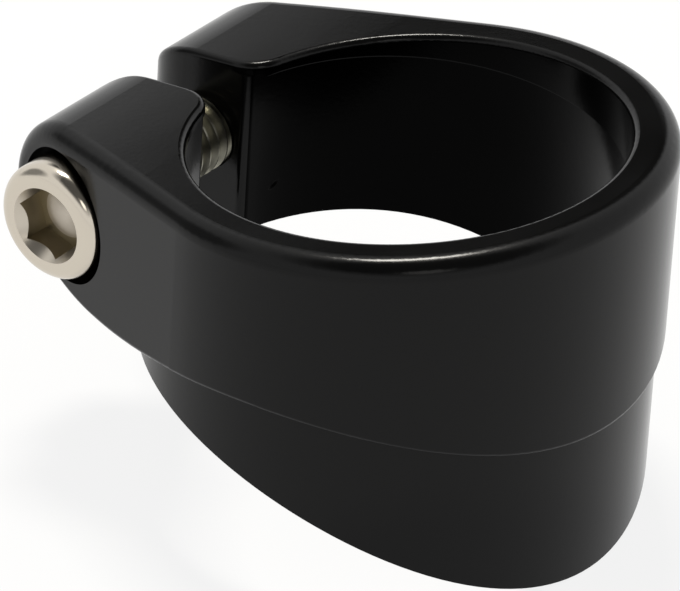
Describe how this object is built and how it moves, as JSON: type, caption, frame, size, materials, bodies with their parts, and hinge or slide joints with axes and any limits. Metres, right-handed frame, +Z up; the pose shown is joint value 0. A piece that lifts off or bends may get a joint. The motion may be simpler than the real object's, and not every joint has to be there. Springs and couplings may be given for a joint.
{
  "type": "seatpost clamp",
  "caption": "Split collar for a bicycle seat tube, with a sloping lipped rim and a drop skirt, drawn together at its ears by a hexagon-socket screw.",
  "frame": {"origin": "on the bore axis, level with the underside of the top lip, where the end of the seat tube stops", "axes": "+Z up along the bore, toward the seatpost; +X away from the slot; the screw runs along Y with its head at -Y"},
  "size_m": [0.0488, 0.0406, 0.0322],
  "materials": {
    "black_aluminium": "black anodised, satin gloss",
    "stainless_steel": "polished stainless steel"
  },
  "bodies": {
    "collar": {"clamp_collar": "black_aluminium"},
    "bolt": {"clamp_bolt": "stainless_steel"}
  },
  "joints": [
    {"name": "bolt_turn", "type": "hinge", "parent": "collar", "child": "bolt", "pos_m": [-0.02165, 0, -0.0066], "axis": [0, 1, 0], "range_deg": [-2700, 0]}
  ]
}
